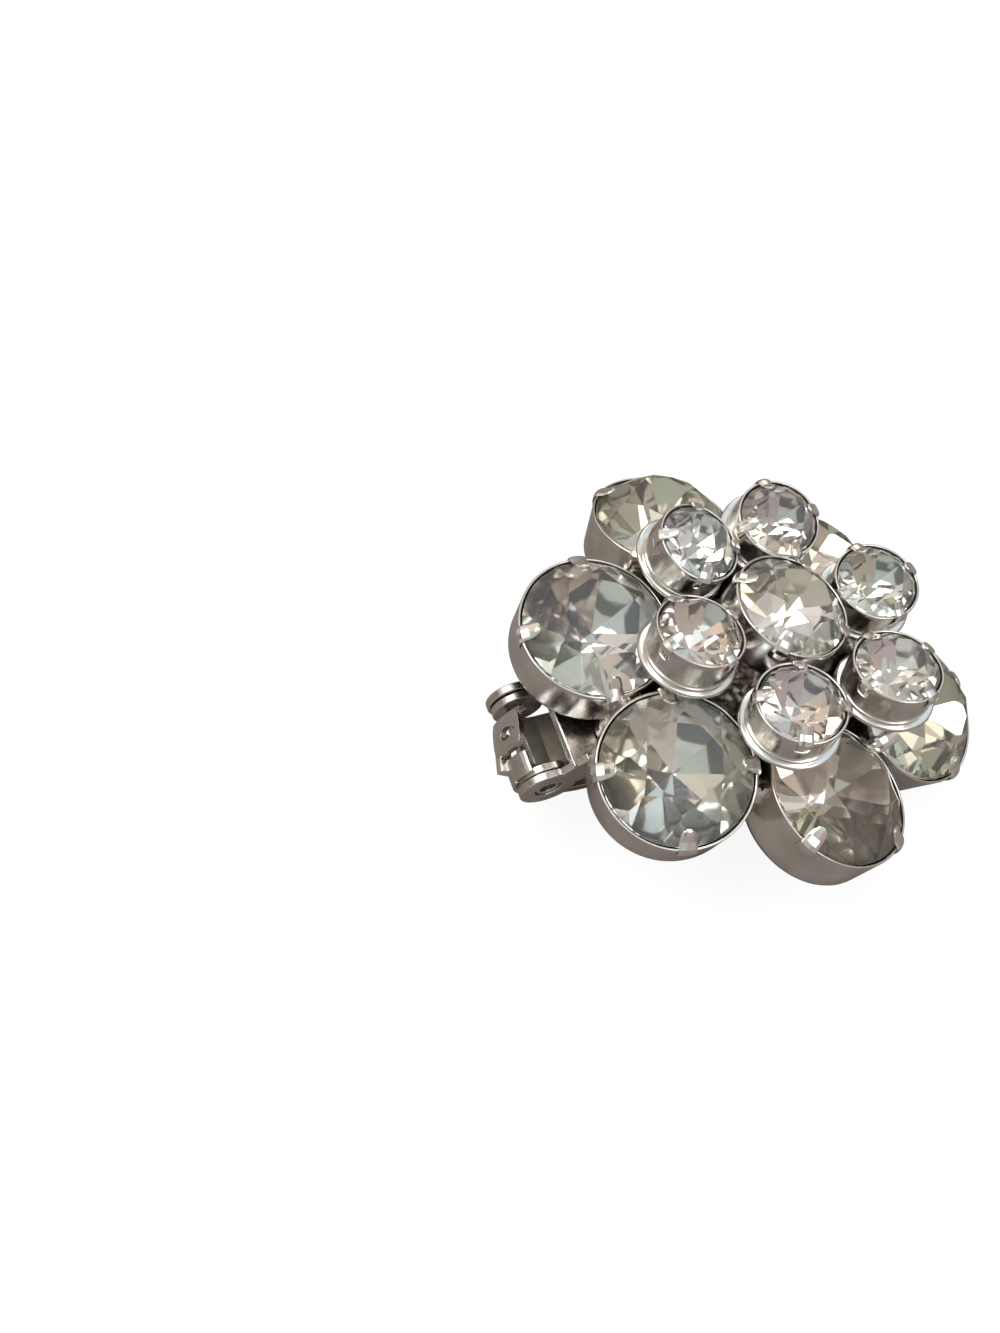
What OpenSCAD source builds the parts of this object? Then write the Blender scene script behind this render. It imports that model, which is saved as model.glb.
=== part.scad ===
// Cluster clip earring: two tiers of round stones in soldered cups, with a hinged clip behind.
// It lies face up, as on a table: on the arch of its closed clip and on the edges of two outer cups.
// The parts are drawn about the cluster's own axis, and rest() then leans the whole to how it lies.

/* [Large stones] */
// Outer radius of a large cup
large_cup_r = 5.6; // [5.3:0.1:5.8]
// Depth of a large cup, from its rim to its base
large_cup_h = 4.6; // [4.3:0.1:5]
// Height of a large stone's crown above its girdle
large_crown_h = 2.2; // [1.8:0.1:2.6]
// Depth of a large stone's back below its girdle
large_back_h = 3.2; // [2.6:0.1:3.4]

/* [Centre stone] */
// Outer radius of the centre cup
centre_cup_r = 4.3; // [4:0.1:4.5]
// Depth of the centre cup
centre_cup_h = 3.6; // [3.2:0.1:4]
// Height of the centre stone's crown above its girdle
centre_crown_h = 1.65; // [1.4:0.05:2]
// Depth of the centre stone's back below its girdle
centre_back_h = 2.5; // [2:0.1:2.7]

/* [Small stones] */
// Outer radius of a small cup
small_cup_r = 3.15; // [2.9:0.05:3.3]
// Depth of a small cup, from its rim to the underside of its flange
small_cup_h = 2.9; // [2.7:0.1:3.2]
// Height of a small stone's crown above its girdle
small_crown_h = 1.3; // [1:0.1:1.6]
// Depth of a small stone's back below its girdle
small_back_h = 1.9; // [1.6:0.1:2]
// Radius of the flange under a small cup
flange_r = 3.55; // [3.4:0.05:3.7]
// Thickness of that flange
flange_t = 0.4; // [0.3:0.05:0.6]

/* [Sheet metal] */
// Thickness of a cup's wall
wall = 0.28; // [0.2:0.02:0.32]
// Thickness of a cup's floor
floor_t = 0.4; // [0.3:0.05:0.5]
// Gap between a stone and its metal
seat_gap = 0.06; // [0.04:0.01:0.1]
// Depth of a stone's girdle below the rim of its cup
girdle_drop = 0.35; // [0.3:0.05:0.45]
// Thickness of a prong
prong_t = 0.32; // [0.25:0.01:0.4]

/* [Clip] */
// Distance of the hinge pin from the cluster's axis
pin_x = 15.6; // [15.4:0.1:15.8]
// Depth of the hinge pin below the plane of the large rims
pin_z = 8.3; // [8.2:0.05:8.4]
// Sideways place of the clip's middle
clip_y = 0.1; // [-1:0.1:0.5]
// Outer radius of an ear of the bracket
ear_r = 2.2; // [2.1:0.1:2.5]
// Radius of the hole in an ear
hole_r = 1; // [0.8:0.05:1.1]
// Running clearance of the lever's boss in that hole
hinge_clear = 0.05; // [0.03:0.01:0.08]
// Radius of the lever's arch, to the middle of its sheet
arch_r = 5.4; // [5.3:0.05:5.5]
// Radius of the lever's pad
pad_r = 4.8; // [4.4:0.1:5]
// How far the lever is opened from closed
lever_open = 0; // [0:5:95]

/* [How it lies] */
// Lean of the cluster's axis away from the hinge
rest_pitch = 17.07; // [0:0.01:20]
// Lean of the cluster's axis to the side
rest_roll = -2.52; // [-5:0.01:5]
// Height of the cluster's own middle above the table
rest_lift = 10.49; // [9:0.01:16]
// Place of that middle along X
rest_x = 1.7; // [-3:0.01:3]
// Place of that middle along Y
rest_y = -0.4; // [-3:0.01:3]

/* [Hidden] */
$fn = 64;

// Columns of the two tables of cups and of the centre cup's row
ANGLE = 0;   // direction round the cluster's axis, from +X
RADIUS = 1;  // distance of the rim's middle from the axis
HEIGHT = 2;  // height of the rim's middle
LEAN = 3;    // lean away from the axis
SIDE = 4;    // lean along the ring
TURN = 5;    // turn of the four prongs

LARGE = [
    [  99, 12.9,  0.1,   15,   -1, 33],
    [ 162, 12.5,  0.8,    4,    6, 12],
    [-143, 12.7,  0.3,   15,   -1, 40],
    [ -82, 11.8, -0.3,    4,    6, 27],
    [ -30, 13.9, -0.5,   17,  -10, 52],
    [  37, 12.4, -0.5,   14,    1, 45]
];
SMALL = [
    [ 126, 7.75, 6.2,  -9.5,    0,  39],
    [  69, 7.9,  6.2, -12,      3,  24],
    [   6, 8,    6.4, -10,     -2,   0],
    [ -51, 8.1,  7.1, -11,      0, -25],
    [-114, 8,    6.6,  -0.5, -9.5,   0],
    [-174, 8.05, 6.6,  -1.5,   -7,  10]
];
CENTRE = [0, 0, 6.4, 3, 0, 50];

large_stone_r = large_cup_r - wall - seat_gap;
centre_stone_r = centre_cup_r - wall - seat_gap;
small_stone_r = small_cup_r - wall - seat_gap;

// The stones' cut
sides = 8;            // main facets of a crown
girdle_t = 0.2;       // thickness of the girdle
table_share = 0.52;   // table radius as a share of the stone's
star_share = 0.42;    // reach of the star facets from table to girdle
edge_h = 0.01;        // height of the thin rings that span the facets
prong_w_share = 0.27; // width of a prong at the wall as a share of the stone's radius
prong_tip_share = 0.65; // width of its tip as a share of that width
prong_reach = 0.26;   // reach of a prong over the crown, as a share of the stone's radius
prong_bulge = 0.3;    // how far a prong stands out of the wall
prong_foot = 1.5;     // depth of its foot below the rim

// The metal behind the cups
back_z = -5.1;        // underside of the hub
back_plate_r = 10.6;  // disc that closes the back between the cups
back_plate_t = 0.6;
hub_z = back_z + 0.3; // where the hub and the posts rise from the disc
hub_r = 7;            // radius of the hub at the back
hub_top_r = 3.6;      // radius of the hub under the centre cup
post_r = 0.9;         // a post under a small cup
post_ring = 7.4;      // distance of the posts from the axis
flange_drop = 0.1;    // how far a flange stands below its cup's floor
solder_r = 1.35;      // a column of solder between two large cups
solder_depth = 2;     // depth of its top below the rims

// The clip's bracket
strip_t = 0.9;        // thickness of the back strip
strip_bottom = back_z - strip_t + 0.1;
strip_w = 5.6;        // width of the strip
strip_end = 2.8;      // where the strip ends past the middle
strip_face_x = -9.4;  // where the flat face that meets the lobe starts
strip_step = 0.12;    // how far the hinge's end lies back from that face
ear_t = 0.65;         // thickness of an ear
ear_in = 3.4;         // inner face of an ear from the clip's middle
ear_out = ear_in + ear_t;
neck_x = [-14.5, -11];
tongue_w = 4.2;       // width of the spring tongue
tongue_t = 0.5;
tongue_bend = [-13.2, -7];
tongue_tip = [-16.7, -8.2];

// The clip's lever
side_gap = 0.1;       // between a cheek of the lever and an ear
cheek_t = 0.6;
cheek_r = 2.1;
yoke_r = [1.75, 2.45];
sheet_t = 0.9;        // thickness of the lever's sheet
arm_w = 5.2;          // width of the arch
arm_t = 0.76;         // thickness of the arm between the arch and the pad
arch_x = -10.6;       // middle of the arch
arch_z = -8;
arch_from = 205;
arch_to = 291;
heel_w = 3.6;
heel_t = 0.8;
heel_reach = 2.75;
pad_at = 10.2;        // distance along the arm from the arch to the pad's middle
pad_t = 0.9;
pad_rim_h = 0.4;
pad_rim_w = 0.6;
dimple_r = 0.6;       // hollow in the end of a boss
dimple_h = 0.6;

function axis_of(row) =
    let (
        x = cos(row[SIDE]) * sin(row[LEAN]),
        y = sin(row[SIDE]),
        z = cos(row[SIDE]) * cos(row[LEAN]),
        c = cos(row[ANGLE]),
        s = sin(row[ANGLE])
    )
    [x * c - y * s, x * s + y * c, z];

// A point on a cup's axis, at a depth below its rim
function point_of(row, depth) =
    [row[RADIUS] * cos(row[ANGLE]), row[RADIUS] * sin(row[ANGLE]), row[HEIGHT]] - depth * axis_of(row);

module at_cup(row) {
    rotate([0, 0, row[ANGLE]])
        translate([row[RADIUS], 0, row[HEIGHT]])
            rotate([-row[SIDE], row[LEAN], 0])
                children();
}

// Leans the cluster as it lies and lifts it onto the table
module rest() {
    translate([rest_x, rest_y, rest_lift])
        rotate([rest_roll, 0, 0])
            rotate([0, rest_pitch, 0])
                children();
}

module facet_ring(r, z, n, turn) {
    translate([0, 0, z])
        rotate([0, 0, turn])
            cylinder(r = r, h = edge_h, $fn = n);
}

// A round stone: a table, star and main facets down to a thin girdle, and a pointed back
module cut_stone(r, crown_h, back_h) {
    half_step = 180 / sides;
    table_r = r * table_share;
    star_r = table_r + (r - table_r) * star_share;
    star_z = crown_h * (1 - (star_r * cos(half_step) - table_r) / (r - table_r));
    translate([0, 0, -girdle_drop])
        hull() {
            facet_ring(table_r, crown_h - edge_h, sides, 0);
            facet_ring(star_r, star_z - edge_h, sides, half_step);
            facet_ring(r, -edge_h, 2 * sides, 0);
            facet_ring(r, -girdle_t, 2 * sides, 0);
            facet_ring(r * 0.06, -girdle_t - back_h, sides, 0);
        }
}

module cup_hollow(r, h) {
    translate([0, 0, floor_t - h])
        cylinder(r = r - wall, h = h - floor_t + 1);
}

module cup_shell(r, h) {
    translate([0, 0, -h])
        cylinder(r = r, h = h);
}

// Four prongs: each swells out of the wall and folds inward over the crown to a rounded tip
module prongs(r, crown_h, turn) {
    stone_r = r - wall - seat_gap;
    slope = crown_h / (stone_r * (1 - table_share));
    reach = stone_r * prong_reach;
    lift = seat_gap - girdle_drop;
    width = stone_r * prong_w_share;
    tip_w = width * prong_tip_share;
    tip_x = stone_r - reach;
    tip_z = lift + slope * (reach + seat_gap);
    in_wall = r - wall * 0.6;
    side_view = [
        [in_wall, -prong_foot],
        [r + prong_bulge, -prong_foot / 2],
        [r + prong_bulge, lift + prong_t],
        [in_wall, lift + 1.8 * prong_t + slope * prong_bulge],
        [tip_x, tip_z + prong_t],
        [tip_x, tip_z],
        [r - wall - 0.03, lift + 0.04],
        [in_wall, lift - 0.2]
    ];
    for (k = [0:3])
        rotate([0, 0, turn + 90 * k])
            intersection() {
                translate([0, width / 2, 0])
                    rotate([90, 0, 0])
                        linear_extrude(width)
                            polygon(side_view);
                translate([0, 0, -prong_foot])
                    linear_extrude(prong_foot + tip_z + 2 * prong_t) {
                        translate([tip_x + tip_w / 2, 0])
                            circle(r = tip_w / 2, $fn = 24);
                        polygon([
                            [tip_x + tip_w / 2, -tip_w / 2],
                            [r + prong_bulge, -width / 2],
                            [r + prong_bulge, width / 2],
                            [tip_x + tip_w / 2, tip_w / 2]
                        ]);
                    }
            }
}

// A flat shape drawn in X and Z, with its thickness along Y about the clip's middle
module side_plate(y_from, y_to) {
    translate([0, clip_y + y_to, 0])
        rotate([90, 0, 0])
            linear_extrude(y_to - y_from)
                children();
}

// A sheet bent round a line along Y: its middle radius, thickness and width
module bent_sheet(r, t, from, to, w) {
    rotate([90, 0, 0])
        rotate([0, 0, from])
            rotate_extrude(angle = to - from)
                translate([r - t / 2, -w / 2])
                    square([t, w]);
}

module along_pin(r, y_from, y_to) {
    translate([-pin_x, clip_y + y_from, -pin_z])
        rotate([-90, 0, 0])
            cylinder(r = r, h = y_to - y_from);
}

module hub() {
    translate([0, 0, back_z])
        cylinder(r = back_plate_r, h = back_plate_t);
    translate([0, 0, hub_z])
        cylinder(r1 = hub_r, r2 = hub_top_r, h = CENTRE[HEIGHT] - centre_cup_h - hub_z + 0.2);
}

module posts() {
    for (row = SMALL) {
        top = point_of(row, small_cup_h - flange_t)[2];
        rotate([0, 0, row[ANGLE]])
            translate([post_ring, 0, hub_z])
                cylinder(r = post_r, h = top - hub_z);
    }
}

module solder() {
    for (i = [0:5]) {
        middle = (point_of(LARGE[i], solder_depth) + point_of(LARGE[(i + 1) % 6], solder_depth)) / 2;
        translate([middle[0], middle[1], hub_z])
            cylinder(r = solder_r, h = middle[2] - hub_z);
    }
}

module cups() {
    for (row = LARGE)
        at_cup(row) cup_shell(large_cup_r, large_cup_h);
    at_cup(CENTRE) cup_shell(centre_cup_r, centre_cup_h);
    for (row = SMALL)
        at_cup(row) {
            cup_shell(small_cup_r, small_cup_h);
            translate([0, 0, -small_cup_h - flange_drop]) cylinder(r = flange_r, h = flange_t);
        }
}

module cup_hollows() {
    for (row = LARGE)
        at_cup(row) cup_hollow(large_cup_r, large_cup_h);
    at_cup(CENTRE) cup_hollow(centre_cup_r, centre_cup_h);
    for (row = SMALL)
        at_cup(row) cup_hollow(small_cup_r, small_cup_h);
}

module all_prongs() {
    for (row = LARGE)
        at_cup(row) prongs(large_cup_r, large_crown_h, row[TURN]);
    at_cup(CENTRE) prongs(centre_cup_r, centre_crown_h, CENTRE[TURN]);
    for (row = SMALL)
        at_cup(row) prongs(small_cup_r, small_crown_h, row[TURN]);
}

module ear(y_from, y_to) {
    difference() {
        union() {
            along_pin(ear_r, y_from, y_to);
            side_plate(y_from, y_to)
                polygon([
                    [-pin_x - 2, -pin_z + 1.1],
                    [neck_x[0], strip_bottom + strip_t],
                    [neck_x[1], strip_bottom + strip_t],
                    [-pin_x + 2, -pin_z - 1.1],
                    [-pin_x, -pin_z]
                ]);
        }
        along_pin(hole_r, y_from - 1, y_to + 1);
    }
}

module bracket() {
    translate([neck_x[0], clip_y - ear_out, strip_bottom + strip_step])
        cube([neck_x[1] - neck_x[0], 2 * ear_out, strip_t - strip_step]);
    translate([neck_x[0], clip_y - strip_w / 2, strip_bottom + strip_step])
        cube([strip_end - neck_x[0], strip_w, strip_t - strip_step]);
    translate([strip_face_x, clip_y - strip_w / 2, strip_bottom])
        cube([strip_end - strip_face_x, strip_w, strip_t]);
    ear(-ear_out, -ear_in);
    ear(ear_in, ear_out);
    side_plate(-tongue_w / 2, tongue_w / 2)
        polygon([
            [tongue_bend[0] + 3.7, strip_bottom + 0.2],
            [tongue_bend[0] + 2.7, strip_bottom + 0.2],
            tongue_bend,
            tongue_tip,
            tongue_tip - [0.1, tongue_t],
            tongue_bend - [-0.1, tongue_t]
        ]);
}

module setting() {
    color("silver")
        rest()
            union() {
                difference() {
                    union() {
                        cups();
                        hub();
                        posts();
                        solder();
                    }
                    cup_hollows();
                }
                all_prongs();
                bracket();
            }
}

module large_stone(i) {
    color("azure")
        rest()
            at_cup(LARGE[i]) cut_stone(large_stone_r, large_crown_h, large_back_h);
}

module small_stone(i) {
    color("azure")
        rest()
            at_cup(SMALL[i]) cut_stone(small_stone_r, small_crown_h, small_back_h);
}

module centre_stone() {
    color("azure")
        rest()
            at_cup(CENTRE) cut_stone(centre_stone_r, centre_crown_h, centre_back_h);
}

// A boss turns in an ear, and its hollow end shows in the ear's hole
module boss(y_from, y_to, hollow_from) {
    difference() {
        along_pin(hole_r - hinge_clear, y_from, y_to);
        along_pin(dimple_r, hollow_from, hollow_from + dimple_h);
    }
}

module yoke() {
    cheek_out = ear_in - side_gap;
    cheek_in = cheek_out - cheek_t;
    boss_out = ear_out - side_gap;
    along_pin(cheek_r, cheek_in, cheek_out);
    along_pin(cheek_r, -cheek_out, -cheek_in);
    boss(cheek_out - 0.1, boss_out, boss_out - dimple_h);
    boss(-boss_out, -cheek_out + 0.1, -boss_out);
    translate([-pin_x, clip_y, -pin_z])
        bent_sheet((yoke_r[0] + yoke_r[1]) / 2, yoke_r[1] - yoke_r[0], 172, 278, 2 * cheek_out - 0.1);
    translate([-pin_x - heel_reach, clip_y - heel_w / 2, -pin_z - heel_t / 2])
        cube([heel_reach - yoke_r[0] - 0.1, heel_w, heel_t]);
}

module arm() {
    slope = arch_to - 270;
    translate([arch_x, clip_y, arch_z])
        bent_sheet(arch_r, sheet_t, arch_from, arch_to, arm_w);
    translate([arch_x + arch_r * cos(arch_to), clip_y, arch_z + arch_r * sin(arch_to)])
        rotate([0, -slope, 0]) {
            translate([-0.4, -arm_w / 2 + 0.1, -arm_t / 2])
                cube([pad_at - pad_r + 1.9, arm_w - 0.2, arm_t]);
            translate([pad_at, 0, -sheet_t / 2])
                difference() {
                    cylinder(r = pad_r, h = pad_t + pad_rim_h);
                    translate([0, 0, pad_t]) cylinder(r = pad_r - pad_rim_w, h = pad_rim_h + 1);
                }
        }
}

module clip_lever() {
    color("silver")
        rest()
            translate([-pin_x, 0, -pin_z])
                rotate([0, lever_open, 0])
                    translate([pin_x, 0, pin_z]) {
                        yoke();
                        arm();
                    }
}

setting();
centre_stone();
clip_lever();
for (i = [1:6]) {
    large_stone(i - 1);
    small_stone(i - 1);
}
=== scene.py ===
# %% [markdown]
# # A cluster clip earring
# Thirteen clear stones sit in round sheet-metal cups on two levels, and a hinged clip is soldered
# behind them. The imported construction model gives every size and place. This lesson dresses it:
# spun cups, folded prongs, cut stones with foil behind them, rough solder and a sprung clip.

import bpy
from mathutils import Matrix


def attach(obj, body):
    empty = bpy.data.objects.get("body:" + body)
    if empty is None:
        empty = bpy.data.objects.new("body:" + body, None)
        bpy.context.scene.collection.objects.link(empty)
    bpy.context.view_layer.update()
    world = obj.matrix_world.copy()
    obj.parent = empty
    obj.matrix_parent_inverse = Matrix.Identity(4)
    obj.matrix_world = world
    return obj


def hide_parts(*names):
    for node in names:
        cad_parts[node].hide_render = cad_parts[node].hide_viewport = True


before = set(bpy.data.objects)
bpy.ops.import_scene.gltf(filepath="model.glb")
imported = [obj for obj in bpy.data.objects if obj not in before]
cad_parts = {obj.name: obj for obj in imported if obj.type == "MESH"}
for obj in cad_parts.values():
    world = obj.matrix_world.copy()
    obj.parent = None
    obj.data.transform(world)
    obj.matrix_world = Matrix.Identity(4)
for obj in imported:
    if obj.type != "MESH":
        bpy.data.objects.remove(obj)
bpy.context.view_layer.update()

# %% [markdown]
# ## Units and places
# Jewellery is measured in millimetres, so every mesh here is modelled in millimetres about its own
# middle and is scaled to metres once, when it is finished. A place is a matrix, and matrices
# multiply: the cup's place on the cluster first, then REST, the height and the lean with which
# the whole earring lies on two cups and the bend of its clip.

# %% Matrices for turning and moving
import math
import random
from collections import namedtuple

import bmesh
import bpy
from mathutils import Matrix, Vector, noise

MM = 0.001
METRES = Matrix.Scale(MM, 4)


def turned(degrees, axis):
    return Matrix.Rotation(math.radians(degrees), 4, axis)


def moved(x, y, z):
    return Matrix.Translation((x, y, z))


REST = moved(1.7, -0.4, 10.49) @ turned(-2.52, "X") @ turned(17.07, "Y")
print("the cluster's own middle lies", round(REST.translation.z, 2), "mm above the floor")

# %% [markdown]
# ## The cups' layout
# The table repeats the construction's driving values: where the rim's middle is, how the cup
# leans out and sideways, and how its four prongs are turned. The last column turns the stone in
# its cup, because no two stones were dropped in alike.

# %% Sizes of the three kinds of cup, and a row for each cup
Size = namedtuple("Size", "cup_r cup_h crown back")
Cup = namedtuple("Cup", "node size angle radius height lean side turn stone_turn")
LARGE = Size(5.6, 4.6, 2.2, 3.2)
MIDDLE = Size(4.3, 3.6, 1.65, 2.5)
SMALL = Size(3.15, 2.9, 1.3, 1.9)
WALL = 0.28
LIP_T = 0.18
STONE_INSET = 0.3
GIRDLE_DROP = 0.06
GIRDLE_T = 0.2
TABLE_SHARE = 0.52

CUPS = [
    Cup("large_stone_1", LARGE, 99, 12.9, 0.1, 15, -1, 33, 4),
    Cup("large_stone_2", LARGE, 162, 12.5, 0.8, 4, 6, 12, 17),
    Cup("large_stone_3", LARGE, -143, 12.7, 0.3, 15, -1, 40, 9),
    Cup("large_stone_4", LARGE, -82, 11.8, -0.3, 4, 6, 27, 31),
    Cup("large_stone_5", LARGE, -30, 13.9, -0.5, 17, -10, 52, 12),
    Cup("large_stone_6", LARGE, 37, 12.4, -0.5, 14, 1, 45, 22),
    Cup("small_stone_1", SMALL, 126, 7.75, 6.2, -9.5, 0, 39, 8),
    Cup("small_stone_2", SMALL, 69, 7.9, 6.2, -12, 3, 24, 20),
    Cup("small_stone_3", SMALL, 6, 8, 6.4, -10, -2, 0, 36),
    Cup("small_stone_4", SMALL, -51, 8.1, 7.1, -11, 0, -25, 3),
    Cup("small_stone_5", SMALL, -114, 8, 6.6, -0.5, -9.5, 0, 14),
    Cup("small_stone_6", SMALL, -174, 8.05, 6.6, -1.5, -7, 10, 29),
    Cup("centre_stone", MIDDLE, 0, 0, 6.4, 3, 0, 50, 11),
]


def place_of(cup):
    on_ring = turned(cup.angle, "Z") @ moved(cup.radius, 0, cup.height)
    return on_ring @ turned(cup.lean, "Y") @ turned(-cup.side, "X")


def stone_radius(cup):
    return cup.size.cup_r - STONE_INSET


print(len(CUPS), "cups, the widest", 2 * LARGE.cup_r, "mm across")

# %% [markdown]
# ## Camera
# The photograph looks down on the earring from high up, a little from the clip's side. The
# camera is placed in the cluster's own axes and is then leaned with the cluster, so that a change
# to how the earring lies never changes which faces it sees.

# %% The camera
CAMERA_AT = (-48.481, -29.933, 62.137)
CAMERA_RIGHT = Vector((0.91162, -0.32102, 0.25672))
CAMERA_UP = Vector((0.15371, 0.84548, 0.51142))
FOCAL_LENGTH = 30.04
SENSOR_WIDTH = 36
NEAR_AND_FAR = (0.005, 20)

camera_data = bpy.data.cameras.new("camera")
camera_data.sensor_width = SENSOR_WIDTH
camera_data.lens = FOCAL_LENGTH
camera_data.clip_start, camera_data.clip_end = NEAR_AND_FAR
camera = bpy.data.objects.new("camera", camera_data)
bpy.context.scene.collection.objects.link(camera)
camera_back = CAMERA_RIGHT.cross(CAMERA_UP)
camera_axes = Matrix((CAMERA_RIGHT, CAMERA_UP, camera_back)).transposed().to_4x4()
leaned = REST @ moved(*CAMERA_AT) @ camera_axes
camera.matrix_world = Matrix.Translation(leaned.translation * MM) @ leaned.to_3x3().to_4x4()
bpy.context.scene.camera = camera
bpy.context.scene.view_settings.view_transform = "Standard"
print("camera at", [round(c, 4) for c in camera.matrix_world.translation])

# %% [markdown]
# ## Nodes in few words
# A material is a tree of nodes, and most trees here need the same few: a noise, a value taken from
# one range to another, and a mix of two colours. A small helper for each keeps a material as short
# as a recipe, where node after node and link after link would hide what it does.

# %% Helpers for node trees
def new_material(name, metallic, roughness, colour):
    material = bpy.data.materials.new(name)
    material.use_nodes = True
    shader = material.node_tree.nodes["Principled BSDF"]
    shader.inputs["Metallic"].default_value = metallic
    shader.inputs["Roughness"].default_value = roughness
    shader.inputs["Base Color"].default_value = (*colour, 1)
    return material, material.node_tree, shader


def add_noise(tree, coordinates, scale, detail, roughness=0.5):
    texture = tree.nodes.new("ShaderNodeTexNoise")
    texture.inputs["Scale"].default_value = scale
    texture.inputs["Detail"].default_value = detail
    texture.inputs["Roughness"].default_value = roughness
    tree.links.new(coordinates, texture.inputs["Vector"])
    return texture.outputs["Fac"]


def add_range(tree, value, low, high, to_low, to_high):
    mapped = tree.nodes.new("ShaderNodeMapRange")
    mapped.inputs["From Min"].default_value = low
    mapped.inputs["From Max"].default_value = high
    mapped.inputs["To Min"].default_value = to_low
    mapped.inputs["To Max"].default_value = to_high
    tree.links.new(value, mapped.inputs["Value"])
    return mapped.outputs["Result"]


def add_mix(tree, factor, first, second):
    """A colour mix. Each of first and second is a socket or a colour."""
    mix = tree.nodes.new("ShaderNodeMix")
    mix.data_type = "RGBA"
    tree.links.new(factor, mix.inputs[0])
    for socket, value in ((mix.inputs[6], first), (mix.inputs[7], second)):
        if isinstance(value, tuple):
            socket.default_value = (*value, 1)
        else:
            tree.links.new(value, socket)
    return mix.outputs[2]


print("node helpers:", [f.__name__ for f in (new_material, add_noise, add_range, add_mix)])

# %% [markdown]
# ## Floor
# The earring lies on plain white paper. Polished metal mirrors whatever is under it, and so much
# white would wash its shape out. Light Path tells the camera's rays from all others, so the camera
# sees white paper, while the metal and the glass see a taupe felt in its place.

# %% The floor
FLOOR_HALF = 3
FELT = (0.27, 0.24, 0.22)
PAPER = (0.16, 0.16, 0.16)
PAPER_GLOW = 0.9

floor_bm = bmesh.new()
bmesh.ops.create_grid(floor_bm, x_segments=1, y_segments=1, size=FLOOR_HALF)
floor_mesh = bpy.data.meshes.new("floor")
floor_bm.to_mesh(floor_mesh)
floor_bm.free()
floor = bpy.data.objects.new("floor", floor_mesh)
bpy.context.scene.collection.objects.link(floor)
floor_paint, paint, felt = new_material("floor_paint", 0, 0.9, FELT)
paper = paint.nodes.new("ShaderNodeBsdfPrincipled")
paper.inputs["Base Color"].default_value = (*PAPER, 1)
paper.inputs["Roughness"].default_value = 1
paper.inputs["Specular IOR Level"].default_value = 0
paper.inputs["Emission Color"].default_value = (1, 1, 1, 1)
paper.inputs["Emission Strength"].default_value = PAPER_GLOW
floor_ray = paint.nodes.new("ShaderNodeLightPath")
floor_mix = paint.nodes.new("ShaderNodeMixShader")
paint.links.new(floor_ray.outputs["Is Camera Ray"], floor_mix.inputs["Fac"])
paint.links.new(felt.outputs[0], floor_mix.inputs[1])
paint.links.new(paper.outputs[0], floor_mix.inputs[2])
paint.links.new(floor_mix.outputs[0], paint.nodes["Material Output"].inputs["Surface"])
floor_mesh.materials.append(floor_paint)
print("floor", floor.dimensions.x, "m wide")

# %% [markdown]
# ## Light
# Polished metal and foiled glass have almost no look of their own: they show what stands round
# them. So the world is painted like a small photo tent. It is white overhead, grey-brown towards
# the horizon, and has soft cards in sage, peach, mauve and ice blue, plus dark gaps between them.
# Each card is a cone of directions: the dot product of a ray with the card's own direction says
# how far the ray is from its middle. The camera itself sees only a plain white backdrop.

# %% The photo tent
Card = namedtuple("Card", "azimuth elevation size soft colour strength")
CARDS = [
    Card(200, 55, 32, 12, (0.50, 0.55, 0.49), 1.0),
    Card(120, 40, 24, 10, (0.95, 0.80, 0.70), 1.0),
    Card(20, 50, 26, 10, (0.70, 0.79, 0.84), 1.1),
    Card(300, 35, 26, 10, (0.48, 0.41, 0.39), 1.0),
    Card(250, 30, 10, 5, (0.20, 0.17, 0.15), 1.0),
    Card(75, 65, 8, 4, (0.26, 0.24, 0.21), 1.0),
    Card(160, 22, 10, 5, (0.22, 0.19, 0.17), 1.0),
    Card(330, 62, 15, 6, (1.0, 1.0, 1.0), 1.8),
    Card(60, 28, 12, 4, (1.0, 0.95, 0.86), 1.6),
    Card(170, 72, 13, 5, (0.93, 0.97, 1.0), 1.5),
]
SKY = [
    (0.5, (0.30, 0.26, 0.23)),
    (0.6, (0.38, 0.35, 0.32)),
    (0.72, (0.55, 0.53, 0.49)),
    (0.88, (0.72, 0.73, 0.68)),
    (1.0, (0.86, 0.88, 0.85)),
]


def direction(azimuth, elevation):
    a = math.radians(azimuth)
    e = math.radians(elevation)
    return Vector((math.cos(a) * math.cos(e), math.sin(a) * math.cos(e), math.sin(e)))


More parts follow.
